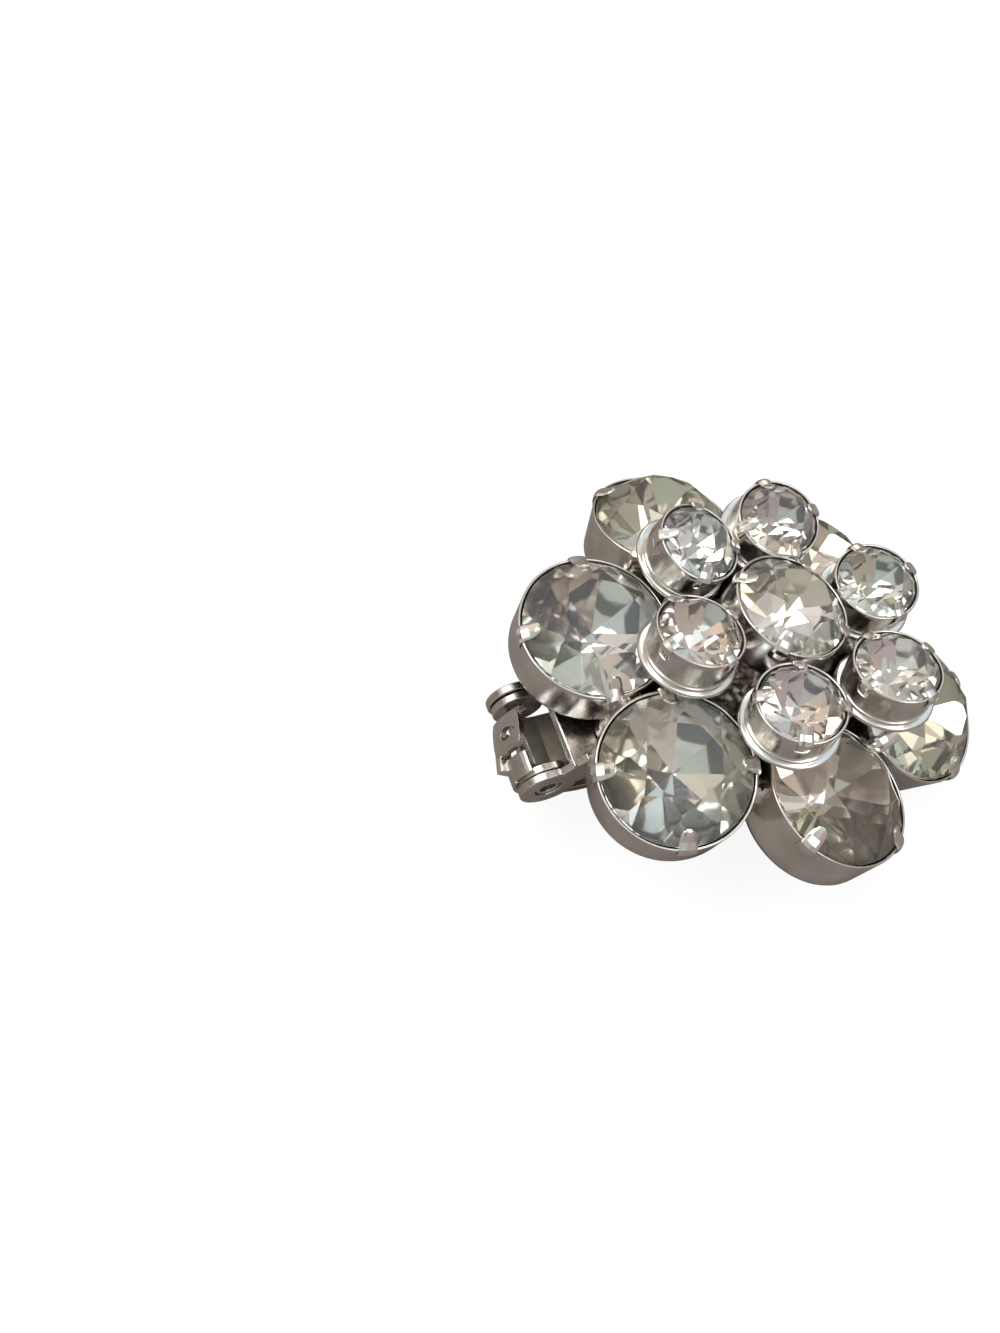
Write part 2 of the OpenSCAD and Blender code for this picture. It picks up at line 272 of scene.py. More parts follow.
world = bpy.data.worlds.new("photo_tent")
bpy.context.scene.world = world
world.use_nodes = True
tent = world.node_tree
tent.nodes.clear()
looking = tent.nodes.new("ShaderNodeTexCoord").outputs["Generated"]
height = tent.nodes.new("ShaderNodeSeparateXYZ")
tent.links.new(looking, height.inputs[0])
half_up = tent.nodes.new("ShaderNodeMapRange")
half_up.inputs["From Min"].default_value = -1
tent.links.new(height.outputs["Z"], half_up.inputs["Value"])
sky = tent.nodes.new("ShaderNodeValToRGB")
while len(sky.color_ramp.elements) < len(SKY):
    sky.color_ramp.elements.new(0.5)
for element, (position, colour) in zip(sky.color_ramp.elements, SKY):
    element.position = position
    element.color = (*colour, 1)
tent.links.new(half_up.outputs["Result"], sky.inputs["Fac"])
painted = sky.outputs["Color"]
for card in CARDS:
    facing = tent.nodes.new("ShaderNodeVectorMath")
    facing.operation = "DOT_PRODUCT"
    facing.inputs[1].default_value = direction(card.azimuth, card.elevation)
    tent.links.new(looking, facing.inputs[0])
    edge = tent.nodes.new("ShaderNodeMapRange")
    edge.interpolation_type = "SMOOTHSTEP"
    edge.inputs["From Min"].default_value = math.cos(math.radians(card.size + card.soft))
    edge.inputs["From Max"].default_value = math.cos(math.radians(card.size - card.soft))
    tent.links.new(facing.outputs["Value"], edge.inputs["Value"])
    lit_colour = tuple(c * card.strength for c in card.colour)
    painted = add_mix(tent, edge.outputs["Result"], painted, lit_colour)
seen = tent.nodes.new("ShaderNodeBackground")
seen.inputs["Color"].default_value = (1, 1, 1, 1)
lit = tent.nodes.new("ShaderNodeBackground")
tent.links.new(painted, lit.inputs["Color"])
ray = tent.nodes.new("ShaderNodeLightPath")
choose = tent.nodes.new("ShaderNodeMixShader")
tent.links.new(ray.outputs["Is Camera Ray"], choose.inputs["Fac"])
tent.links.new(lit.outputs[0], choose.inputs[1])
tent.links.new(seen.outputs[0], choose.inputs[2])
surround = tent.nodes.new("ShaderNodeOutputWorld")
tent.links.new(choose.outputs[0], surround.inputs["Surface"])
print(len(CARDS), "cards in the tent")

# %% [markdown]
# The tent alone is even, so two soft boxes give the brighter edges. Each is a disc far larger than
# the earring, because a small lamp would leave points on the rims where a disc leaves long lines.

# %% Two soft boxes
SoftBox = namedtuple("SoftBox", "name azimuth elevation distance size watts")
SOFT_BOXES = [
    SoftBox("key_box", 140, 62, 0.45, 0.26, 0.6),
    SoftBox("fill_box", 320, 55, 0.5, 0.2, 0.2),
]
for box in SOFT_BOXES:
    lamp = bpy.data.lights.new(box.name, "AREA")
    lamp.shape = "DISK"
    lamp.size = box.size
    lamp.energy = box.watts
    holder = bpy.data.objects.new(box.name, lamp)
    bpy.context.scene.collection.objects.link(holder)
    aim = direction(box.azimuth, box.elevation)
    holder.location = aim * box.distance
    holder.rotation_mode = "QUATERNION"
    holder.rotation_quaternion = aim.to_track_quat("Z", "Y")
    holder.visible_camera = False
print(len(SOFT_BOXES), "soft boxes")

# %% [markdown]
# ## Finishes
# All the metal is one plating, but it is bright where fingers and cloth reach and grey-brown
# where they don't. A shader group makes the plating's wear once, from Object coordinates, and
# each material places it with its own values.

# %% The plating's wear, as a group
TARNISH_ROUGHNESS = 0.12
wear = bpy.data.node_groups.new("plating_wear", "ShaderNodeTree")
WEAR_SOCKETS = [
    ("Bright", "INPUT", "Color"),
    ("Tarnished", "INPUT", "Color"),
    ("Tarnish", "INPUT", "Float"),
    ("Polish", "INPUT", "Float"),
    ("Color", "OUTPUT", "Color"),
    ("Roughness", "OUTPUT", "Float"),
    ("Height", "OUTPUT", "Float"),
]
for name, side, kind in WEAR_SOCKETS:
    wear.interface.new_socket(name, in_out=side, socket_type="NodeSocket" + kind)
given = wear.nodes.new("NodeGroupInput")
result = wear.nodes.new("NodeGroupOutput")
wear_spot = wear.nodes.new("ShaderNodeTexCoord").outputs["Object"]
clouds = add_noise(wear, wear_spot, 420, 4)
cloudy = add_range(wear, clouds, 0.35, 0.7, 0, 1)
dull = wear.nodes.new("ShaderNodeMath")
dull.operation = "MULTIPLY"
wear.links.new(cloudy, dull.inputs[0])
wear.links.new(given.outputs["Tarnish"], dull.inputs[1])
shaded = add_mix(wear, dull.outputs[0], given.outputs["Bright"], given.outputs["Tarnished"])
wear.links.new(shaded, result.inputs["Color"])
grain = add_noise(wear, wear_spot, 2600, 3)
grainy = add_range(wear, grain, 0.3, 0.8, -0.03, 0.09)
rough = wear.nodes.new("ShaderNodeMath")
rough.operation = "ADD"
wear.links.new(grainy, rough.inputs[0])
wear.links.new(given.outputs["Polish"], rough.inputs[1])
rougher = wear.nodes.new("ShaderNodeMath")
rougher.operation = "MULTIPLY_ADD"
rougher.inputs[1].default_value = TARNISH_ROUGHNESS
wear.links.new(dull.outputs[0], rougher.inputs[0])
wear.links.new(rough.outputs[0], rougher.inputs[2])
wear.links.new(rougher.outputs[0], result.inputs["Roughness"])
dents = add_noise(wear, wear_spot, 900, 2)
wear.links.new(dents, result.inputs["Height"])
print("group", wear.name, "has", len(WEAR_SOCKETS), "sockets")

# %% [markdown]
# Each metal is the same group with its own values. The prongs are the brightest, since cloth rubs
# them most. The solder is dark and rough, and the clip lies between. The seat's near-black is no
# plating: it is painted shade, which stands in for the shadow in the gap between a stone and its
# cup and draws a thin dark line there.

# %% The metals
DENT_DEPTH = 0.00005


def plated(name, bright, tarnished, tarnish, polish, bump):
    material, tree, shader = new_material(name, 1, polish, bright)
    group = tree.nodes.new("ShaderNodeGroup")
    group.node_tree = wear
    group.inputs["Bright"].default_value = (*bright, 1)
    group.inputs["Tarnished"].default_value = (*tarnished, 1)
    group.inputs["Tarnish"].default_value = tarnish
    group.inputs["Polish"].default_value = polish
    tree.links.new(group.outputs["Color"], shader.inputs["Base Color"])
    tree.links.new(group.outputs["Roughness"], shader.inputs["Roughness"])
    relief = tree.nodes.new("ShaderNodeBump")
    relief.inputs["Strength"].default_value = bump
    relief.inputs["Distance"].default_value = DENT_DEPTH
    tree.links.new(group.outputs["Height"], relief.inputs["Height"])
    tree.links.new(relief.outputs["Normal"], shader.inputs["Normal"])
    return material


CUP_METAL = plated("cup_plating", (0.80, 0.77, 0.74), (0.50, 0.45, 0.42), 0.55, 0.16, 0.25)
PRONG_METAL = plated("prong_plating", (0.86, 0.84, 0.81), (0.62, 0.58, 0.55), 0.4, 0.10, 0.2)
SOLDER_METAL = plated("rough_solder", (0.66, 0.60, 0.55), (0.20, 0.17, 0.15), 1.0, 0.26, 1.0)
CLIP_METAL = plated("clip_plating", (0.76, 0.73, 0.70), (0.40, 0.36, 0.33), 0.6, 0.2, 0.3)
BRUSHED_METAL = plated("brushed_plating", (0.80, 0.79, 0.74), (0.42, 0.39, 0.34), 0.9, 0.26, 0.8)
# Painted shade: a near-black for the gap between each stone and its cup, which lies in shadow.
SEAT_SHADE = new_material("painted_seat_shade", 0.3, 0.7, (0.03, 0.027, 0.024))[0]
METALS = [CUP_METAL, PRONG_METAL, SOLDER_METAL, CLIP_METAL, BRUSHED_METAL, SEAT_SHADE]
print("metals:", [m.name for m in METALS])

# %% [markdown]
# ## Glass and foil
# A foiled stone is two things at once: clear glass in front and a mirror behind. The crown's
# faces get a glass shader. The back's faces get a metal one, seen from inside through the glass,
# and a colour attribute gives each of its facets its own slight tint, as old foil has.

# %% Glass and foil materials
GLASS_IOR = 1.56
FOIL_RIPPLE = 0.00004

GLASS, _, glass_shader = new_material("clear_glass", 0, 0, (0.98, 0.99, 0.98))
glass_shader.inputs["Transmission Weight"].default_value = 1
glass_shader.inputs["IOR"].default_value = GLASS_IOR

FOIL, foil_tree, foil_shader = new_material("silver_foil", 0.8, 0.07, (0.9, 0.9, 0.9))
tint = foil_tree.nodes.new("ShaderNodeAttribute")
tint.attribute_name = "foil_tint"
foil_spot = foil_tree.nodes.new("ShaderNodeTexCoord").outputs["Object"]
mottle = add_range(foil_tree, add_noise(foil_tree, foil_spot, 900, 3), 0.45, 0.8, 0, 0.3)
foiled = add_mix(foil_tree, mottle, tint.outputs["Color"], (0.74, 0.71, 0.66))
foil_tree.links.new(foiled, foil_shader.inputs["Base Color"])
foil_bump = foil_tree.nodes.new("ShaderNodeBump")
foil_bump.inputs["Strength"].default_value = 0.12
foil_bump.inputs["Distance"].default_value = FOIL_RIPPLE
foil_tree.links.new(add_noise(foil_tree, foil_spot, 500, 2), foil_bump.inputs["Height"])
foil_tree.links.new(foil_bump.outputs["Normal"], foil_shader.inputs["Normal"])
print("stone materials:", GLASS.name, FOIL.name)

# %% [markdown]
# ## Finishing a piece
# Every piece ends in the same way: its mesh goes to its place, it gets smooth faces with crisp
# edges and its materials, and it is told which body it rides on.

# %% One function that finishes a piece
SHARP = math.radians(38)


def make_piece(bm, name, materials, place=None, body="root", smooth=True):
    bmesh.ops.transform(bm, matrix=METRES @ REST @ (place or Matrix()), verts=bm.verts)
    mesh = bpy.data.meshes.new(name)
    for face in bm.faces:
        face.smooth = smooth
    bm.to_mesh(mesh)
    bm.free()
    if smooth:
        mesh.set_sharp_from_angle(angle=SHARP)
    for material in materials:
        mesh.materials.append(material)
    piece = bpy.data.objects.new(name, mesh)
    bpy.context.scene.collection.objects.link(piece)
    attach(piece, body)
    return piece


def join_copy(target, source, place):
    """Adds a placed copy of one bmesh to another, and empties the source."""
    bmesh.ops.transform(source, matrix=place, verts=source.verts)
    scratch = bpy.data.meshes.new("scratch")
    source.to_mesh(scratch)
    source.free()
    target.from_mesh(scratch)
    bpy.data.meshes.remove(scratch)


print("edges sharper than", round(math.degrees(SHARP)), "degrees stay crisp")

# %% [markdown]
# ## The stones
# A real stone is ground, facet after facet, from a blank. The same works here: the blank is a
# drum, and bisect_plane is the grinding wheel. Each cut takes away what lies beyond a plane and
# the new edge loop is closed with a flat face, so every facet is truly flat. Modelling the
# corners by hand would need a list of points, and its facets would never be quite plane.

# %% Grind one facet, and a whole ring of them
Facets = namedtuple("Facets", "count turn slope radius height")
EIGHT = 8
HALF_TURN = 180 / EIGHT
BLANK_SIDES = 48
STAR_SLOPE = 0.6
HALF_SLOPE = 1.12


def grind(bm, point, normal):
    """Cuts away what lies beyond the plane and closes the cut with one flat face."""
    everything = bm.verts[:] + bm.edges[:] + bm.faces[:]
    cut = bmesh.ops.bisect_plane(
        bm, geom=everything, dist=1e-5, plane_co=point, plane_no=normal, clear_outer=True
    )
    rim = [e for e in cut["geom_cut"] if isinstance(e, bmesh.types.BMEdge)]
    if len(rim) > 2:
        bmesh.ops.contextual_create(bm, geom=rim)


def grind_ring(bm, facets, direction_up):
    """A ring of equal facets. Each passes through a point at facets.radius and facets.height."""
    slope = math.radians(facets.slope)
    for k in range(facets.count):
        around = turned(facets.turn + 360 * k / facets.count, "Z")
        point = around @ Vector((facets.radius, 0, facets.height))
        normal = around @ Vector((math.sin(slope), 0, direction_up * math.cos(slope)))
        grind(bm, point, normal)


def cut_stone(radius, crown, back):
    """A round stone about its girdle's top, with its table up.

    The rings are ground in this order: mains, stars and half facets of the crown, then the mains
    and half facets of the back. A ring turned by half a step meets the corners of the one before.
    """
    bm = bmesh.new()
    depth = crown + GIRDLE_T + back
    bmesh.ops.create_cone(
        bm, cap_ends=True, segments=BLANK_SIDES, radius1=radius, radius2=radius, depth=depth
    )
    bmesh.ops.translate(bm, vec=(0, 0, crown - depth / 2), verts=bm.verts)
    table_r = radius * TABLE_SHARE
    main_slope = math.degrees(math.atan2(crown, radius - table_r))
    table_edge = table_r * math.cos(math.radians(HALF_TURN))
    back_slope = math.degrees(math.atan2(back, radius))
    rings = [
        (Facets(EIGHT, 0, main_slope, radius, 0), 1),
        (Facets(EIGHT, HALF_TURN, main_slope * STAR_SLOPE, table_edge, crown), 1),
        (Facets(EIGHT, HALF_TURN, main_slope * HALF_SLOPE, radius, 0), 1),
        (Facets(EIGHT, 0, back_slope, radius * 0.995, -GIRDLE_T), -1),
        (Facets(EIGHT, HALF_TURN, back_slope * HALF_SLOPE, radius * 0.998, -GIRDLE_T), -1),
    ]
    for facets, direction_up in rings:
        grind_ring(bm, facets, direction_up)
    return bm


sample = cut_stone(stone_radius(CUPS[0]), LARGE.crown, LARGE.back)
print("a ground stone has", len(sample.faces), "faces")
sample.free()

# %% [markdown]
# Old foil isn't one silver. Where damp got in it turned olive, mauve or peach, and elsewhere it
# stayed icy. Each stone therefore has a row of eight tints, one for each eighth of its back, in
# the order of the facets. The tint is stored on the face corners, where the foil reads it.

# %% The foil's tints
TINTS = {
    "ice": (0.93, 0.98, 1.0),
    "white": (1.0, 0.99, 0.96),
    "cream": (1.0, 0.94, 0.86),
    "peach": (1.0, 0.86, 0.76),
    "mauve": (0.84, 0.76, 0.78),
    "taupe": (0.82, 0.75, 0.67),
    "olive": (0.82, 0.79, 0.66),
    "sage": (0.86, 0.90, 0.81),
    "grey": (0.85, 0.87, 0.86),
    "blue": (0.76, 0.88, 1.0),
}
STONE_TINTS = {
    "large_stone_1": "olive olive taupe olive sage cream olive olive",
    "large_stone_2": "cream peach mauve sage sage grey ice ice",
    "large_stone_3": "sage ice cream olive peach white ice sage",
    "large_stone_4": "olive taupe cream taupe olive cream taupe peach",
    "large_stone_5": "olive sage grey olive white sage olive cream",
    "large_stone_6": "taupe olive olive taupe sage olive taupe olive",
    "small_stone_1": "grey ice mauve taupe cream ice ice white",
    "small_stone_2": "taupe mauve taupe sage cream peach white grey",
    "small_stone_3": "sage olive grey taupe sage ice white grey",
    "small_stone_4": "white mauve taupe cream peach white sage grey",
    "small_stone_5": "mauve mauve grey sage white ice peach taupe",
    "small_stone_6": "white taupe mauve taupe grey ice white peach",
    "centre_stone": "peach olive taupe olive mauve white ice ice",
}
print(len(TINTS), "tints for", len(STONE_TINTS), "stones")

# %% [markdown]
# Thirteen stones are then a loop over the cups. Its faces that look down are foil and the rest is
# glass, so one mesh carries both. A facet also gets a slight shade of its own from a seeded draw,
# because no two facets of old foil are equally bright, and the seed keeps every run the same.

# %% Thirteen stones
EIGHTH = 360 / 8
FOIL_FACES_BELOW = -0.2
draw = random.Random(7)
for cup in CUPS:
    bm = cut_stone(stone_radius(cup), cup.size.crown, cup.size.back)
    tint_layer = bm.loops.layers.float_color.new("foil_tint")
    tints = STONE_TINTS[cup.node].split()
    for face in bm.faces:
        face.material_index = 1 if face.normal.z < FOIL_FACES_BELOW else 0
        middle = face.calc_center_median()
        seen_at = math.degrees(math.atan2(middle.y, middle.x)) + cup.stone_turn + cup.angle
        colour = TINTS[tints[int(seen_at % 360 / EIGHTH)]]
        shade = draw.uniform(0.78, 1.05)
        for loop in face.loops:
            loop[tint_layer] = (*[min(c * shade, 1) for c in colour], 1)
    seat = place_of(cup) @ moved(0, 0, -GIRDLE_DROP) @ turned(cup.stone_turn, "Z")
    gem = make_piece(bm, "gem_" + cup.node, [GLASS, FOIL], seat, smooth=False)
    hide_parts(cup.node)
print(len(CUPS), "stones cut")

# %% [markdown]
# ## The cups
# A cup is pressed from thin sheet: a straight wall, a small rounded lip and a base that turns in.
# Any shape that is the same all round its axis is quickest as a profile that is spun. The profile
# goes up the outside, over the lip and down the inside, so the wall has its real thickness.

# %% Spin a profile into a wall
AROUND = 96
CUP_FLOOR_T = 0.4
TURN_IN_SHARE = 0.2
FULL_WALL_BELOW = -0.9
WALL_TOP = -0.5


def spun(profile, steps=AROUND):
    """A solid of revolution about Z, from (radius, height) pairs that start and end on the axis."""
    bm = bmesh.new()
    corners = [bm.verts.new((radius, 0, height)) for radius, height in profile]
    edges = [bm.edges.new(pair) for pair in zip(corners, corners[1:])]
    bmesh.ops.spin(
        bm,
        geom=corners + edges,
        cent=(0, 0, 0),
        axis=(0, 0, 1),
        angle=math.tau,
        steps=steps,
        use_merge=True,
    )
    bmesh.ops.remove_doubles(bm, verts=bm.verts, dist=0.001)
    bmesh.ops.recalc_face_normals(bm, faces=bm.faces)
    return bm


def arc(middle_r, middle_z, radius, start, end, count):
    """Points on an arc of a profile, between two angles in degrees."""
    steps = [math.radians(start + (end - start) * k / count) for k in range(count + 1)]
    return [(middle_r + radius * math.cos(a), middle_z + radius * math.sin(a)) for a in steps]


def cup_profile(cup_r, cup_h, turn_in):
    """Up the outside from the axis, over the lip, and down the inside to the axis again."""
    lip = LIP_T / 2
    outside = [(0, -cup_h), (cup_r - turn_in, -cup_h)]
    outside += arc(cup_r - turn_in, turn_in - cup_h, turn_in, -80, 0, 6)
    over = arc(cup_r - lip, -lip, lip, 0, 180, 6)
    seat = CUP_FLOOR_T - cup_h
    inside = [(cup_r - WALL, FULL_WALL_BELOW), (cup_r - WALL, seat), (0, seat)]
    return outside + [(cup_r, WALL_TOP)] + over + inside


print("a cup's profile has", len(cup_profile(LARGE.cup_r, LARGE.cup_h, 1)), "points")

# %% [markdown]
# A prong starts as a tab of the wall, swells out of it and is pushed over the stone's crown. It
# is modelled as a strip: a thin ellipse is extruded from station to station, and each station
# says where the strip is, where it heads, and how wide and thick it is.

# %% Extrude a section along stations
Station = namedtuple("Station", "out up heading width thickness")


def station_matrix(station):
    """The section's axes at a station: across, through the thickness, and along the strip."""
    heading = math.radians(station.heading)
    along = Vector((math.cos(heading), 0, math.sin(heading)))
    through = Vector((math.sin(heading), 0, -math.cos(heading)))
    across = through.cross(along)
    axes = Matrix((across * station.width / 2, through * station.thickness / 2, along)).transposed()
    return Matrix.Translation((station.out, 0, station.up)) @ axes.to_4x4()


def strip_along(stations, corners=12):
    """A closed strip. Four corners make a sheet with square edges, more make a rounded one."""
    bm = bmesh.new()
    first = station_matrix(stations[0])
    if corners == 4:
        bmesh.ops.create_grid(bm, x_segments=1, y_segments=1, size=1, matrix=first)
    else:
        bmesh.ops.create_circle(bm, cap_ends=True, segments=corners, radius=1, matrix=first)
    bm.faces.ensure_lookup_table()
    end = bm.faces[0]
    for before, after in zip(stations, stations[1:]):
        grown = bmesh.ops.extrude_face_region(bm, geom=[end], use_keep_orig=before is stations[0])
        end = [f for f in grown["geom"] if isinstance(f, bmesh.types.BMFace)][0]
        step = station_matrix(after) @ station_matrix(before).inverted()
        bmesh.ops.transform(bm, matrix=step, verts=end.verts)
    bmesh.ops.recalc_face_normals(bm, faces=bm.faces)
    return bm


def prong_stations(cup):
    """The way of a prong: out of the wall, over the rim, and down onto the crown."""
    r = cup.size.cup_r
    stone_r = stone_radius(cup)
    slope = cup.size.crown / (stone_r * (1 - TABLE_SHARE))
    lean = 180 - math.degrees(math.atan(slope))
    width = 0.55 + 0.14 * r
    thick = 0.16 + 0.02 * r
    reach = 0.35 + 0.1 * r

    def over_crown(inward):
        return -GIRDLE_DROP + inward * slope + thick * 0.55 / math.cos(math.atan(slope))

    return [
        Station(r - 0.16, -1.5, 80, width * 0.9, thick * 0.5),
        Station(r - 0.02, -0.9, 76, width, thick),
        Station(r + 0.1, -0.4, 84, width, thick),
        Station(r + 0.08, -0.05, 105, width * 0.98, thick * 1.05),
        Station(r - 0.1, 0.14, 145, width * 0.95, thick * 1.05),
        Station(stone_r - reach * 0.3, over_crown(reach * 0.3), lean + 6, width * 0.9, thick),
        Station(stone_r - reach * 0.7, over_crown(reach * 0.7), lean, width * 0.8, thick),
        Station(stone_r - reach * 0.95, over_crown(reach * 0.95), lean, width * 0.6, thick * 0.85),
        Station(stone_r - reach * 1.05, over_crown(reach * 1.03), lean, width * 0.3, thick * 0.5),
    ]


print("a prong has", len(prong_stations(CUPS[0])), "stations")

# %% [markdown]
# A cup and its four prongs are one mesh, since they are one sheet. Material indices tell them
# apart: the wall, the rubbed prongs, and the seat inside, just below the lip, which is painted
# near-black as shade.

# %% The cups with their prongs
SEAT_BELOW = -0.05
for cup in CUPS:
    bm = spun(cup_profile(cup.size.cup_r, cup.size.cup_h, cup.size.cup_r * TURN_IN_SHARE))
    for k in range(4):
        prong = strip_along(prong_stations(cup))
        for face in prong.faces:
            face.material_index = 1
        join_copy(bm, prong, turned(cup.turn + 90 * k, "Z"))
    # Faces inside the wall, below the lip, take the painted shade of the gap between stone and cup.
    for face in bm.faces:
        middle = face.calc_center_median()
        inside_wall = middle.xy.length < cup.size.cup_r - WALL / 2 and middle.z < SEAT_BELOW
        if face.material_index == 0 and inside_wall:
            face.material_index = 2
    name = "cup_of_" + cup.node
    make_piece(bm, name, [CUP_METAL, PRONG_METAL, SEAT_SHADE], place_of(cup))

# %% [markdown]
# Each small cup stands on a flange, a thin round plate that shows as a second bright line under
# it. A flat profile with a half-round edge is spun, as for the cups.

# %% Flanges under the small cups
FLANGE_R = 3.55
FLANGE_T = 0.4
FLANGE_TOP = -2.6
for cup in CUPS:
    if cup.size is SMALL:
        half_t = FLANGE_T / 2
        round_edge = arc(FLANGE_R - half_t, FLANGE_TOP - half_t, half_t, -90, 90, 6)
        profile = [(0, FLANGE_TOP - FLANGE_T)] + round_edge + [(0, FLANGE_TOP)]
        name = "flange_of_" + cup.node
        make_piece(spun(profile), name, [PRONG_METAL], place_of(cup))

# %% [markdown]
# ## The back and the solder
# Behind the cups lies what no customer looks at: a disc, a hub and posts, flooded with solder.
# Solder has no outline of its own. It is grown from a simple drum or ball whose points are then
# pushed in and out by a smooth noise, finer where the real one is pitted.

# %% Push points in and out with noise
BACK_Z = -5.1
INSIDE_DISC = BACK_Z + 0.3


def roughen(bm, amount, scale, seed):
    """Moves each point along its normal by a smooth noise in space."""
    bm.normal_update()
    for vert in bm.verts:
        spot = vert.co * scale + Vector((seed, seed * 2, 0))
        vert.co += vert.normal * amount * noise.noise(spot)


def drum(bottom_r, top_r, bottom_z, top_z, rings, around=64):
    """A tapered drum with enough rings to be roughened."""
    side = [
        (bottom_r + (top_r - bottom_r) * k / rings, bottom_z + (top_z - bottom_z) * k / rings)
        for k in range(rings + 1)
    ]
    return spun([(0, bottom_z)] + side + [(0, top_z)], around)


print("solder starts inside the disc, at", round(INSIDE_DISC, 2), "mm")

# %% [markdown]
# The disc is plain sheet. The hub is a tapered drum roughened three times, coarse, finer and
# finest, which gives it lumps with pits in them. It needs many rings for the finest pits to show.
# A post under each small cup joins it to the disc.

# %% The disc, the hub and the posts
DISC_T = 0.6
DISC_FLAT_R = 10.45
disc_edge = arc(DISC_FLAT_R, BACK_Z + DISC_T / 2, DISC_T / 2, -90, 90, 6)
disc = spun([(0, BACK_Z)] + disc_edge + [(0, BACK_Z + DISC_T)])
make_piece(disc, "back_disc", [CLIP_METAL])

HUB_BOTTOM_R = 7
HUB_TOP_R = 3.6
HUB_TOP_Z = 3
hub = drum(HUB_BOTTOM_R, HUB_TOP_R, INSIDE_DISC, HUB_TOP_Z, rings=60, around=160)
for amount, scale, seed in ((0.45, 0.9, 3), (0.22, 2.6, 5), (0.1, 6.5, 7)):
    roughen(hub, amount, scale, seed)
make_piece(hub, "hub", [SOLDER_METAL])

POST_RING = 7.4
POST_TOP_DROP = 2.7
posts = bmesh.new()
for index, cup in enumerate(c for c in CUPS if c.size is SMALL):
    post = drum(1.0, 0.85, INSIDE_DISC, cup.height - POST_TOP_DROP, 16, 24)
    roughen(post, 0.2, 1.7, index)
    join_copy(posts, post, turned(cup.angle, "Z") @ moved(POST_RING, 0, 0))
make_piece(posts, "posts", [SOLDER_METAL])
print("hub and posts made")

# %% [markdown]
# Where two large cups come nearest, solder runs down between them to the disc and stands proud in
# a lump. A column and a roughened ball at each of the six places say that well enough.

# %% Solder between the cups
JOINT_DROP = Vector((0, 0, -2))


def solder_lump(radius, seed):
    bm = bmesh.new()
    bmesh.ops.create_icosphere(bm, subdivisions=4, radius=radius)
    roughen(bm, radius * 0.5, 1.2 / radius, seed)
    roughen(bm, radius * 0.14, 4.2 / radius, seed + 9)
    return bm


solder = bmesh.new()
large_cups = [c for c in CUPS if c.size is LARGE]
for index, cup in enumerate(large_cups):
    after = large_cups[(index + 1) % len(large_cups)]
    here = place_of(cup) @ JOINT_DROP
    there = place_of(after) @ JOINT_DROP
    middle = (here + there) / 2
    column = drum(1.35, 1.2, INSIDE_DISC, middle.z, 12, 24)
    roughen(column, 0.25, 1.3, index)
    join_copy(solder, column, moved(middle.x, middle.y, 0))
    join_copy(solder, solder_lump(1.15, index), moved(middle.x, middle.y, middle.z))
make_piece(solder, "solder", [SOLDER_METAL])

# %% [markdown]
# ## The clip
# The clip is bent sheet. Its bracket carries two ears, and the lever turns in them on two pressed
# bosses. Sheet is modelled flat and square first, and a Bevel modifier then softens its edges,
# because it treats every edge alike, as tumbling does to the real part.

# %% Sheet, plates and ears
PIN = Vector((-15.6, 0.1, -8.3))
EAR_R = 2.2
EAR_IN = 3.4
EAR_T = 0.65
HOLE_R = 1.0


def soften(piece, width_mm, segments=3):
    bevel = piece.modifiers.new("soft_edges", "BEVEL")
    bevel.width = width_mm * MM
    bevel.segments = segments
    bevel.limit_method = "ANGLE"
    bevel.angle_limit = math.radians(40)
    bevel.harden_normals = True


def slab(low, high):
    """A block between two corners."""
    bm = bmesh.new()
    size = [b - a for a, b in zip(low, high)]
    middle = [(a + b) / 2 for a, b in zip(low, high)]
    stretched = Matrix.Translation(middle) @ Matrix.Diagonal((*size, 1))
    bmesh.ops.create_cube(bm, size=1, matrix=stretched)
    return bm


def ring_plate(outer_r, inner_r, thickness):
    """A flat ring about Y, from y = 0 to its thickness."""
    bm = bmesh.new()
    outer = bmesh.ops.create_circle(bm, segments=48, radius=outer_r)["verts"]
    inner = bmesh.ops.create_circle(bm, segments=48, radius=inner_r)["verts"]
    edges = list({e for v in outer + inner for e in v.link_edges})
    bmesh.ops.bridge_loops(bm, edges=edges)
    made = bmesh.ops.extrude_face_region(bm, geom=bm.faces[:], use_keep_orig=True)
    raised = [v for v in made["geom"] if isinstance(v, bmesh.types.BMVert)]
    bmesh.ops.translate(bm, vec=(0, 0, thickness), verts=raised)
    bmesh.ops.recalc_face_normals(bm, faces=bm.faces)
    bmesh.ops.transform(bm, matrix=turned(-90, "X"), verts=bm.verts)
    return bm


print("the hinge is", round(2 * (EAR_IN + EAR_T), 2), "mm across its ears")

# %% [markdown]
# The bracket is a back strip that the ear lobe rests on, a wider foot behind the hinge and two
# ears on short necks. The strip steps back a little towards the hinge, where the lobe isn't.

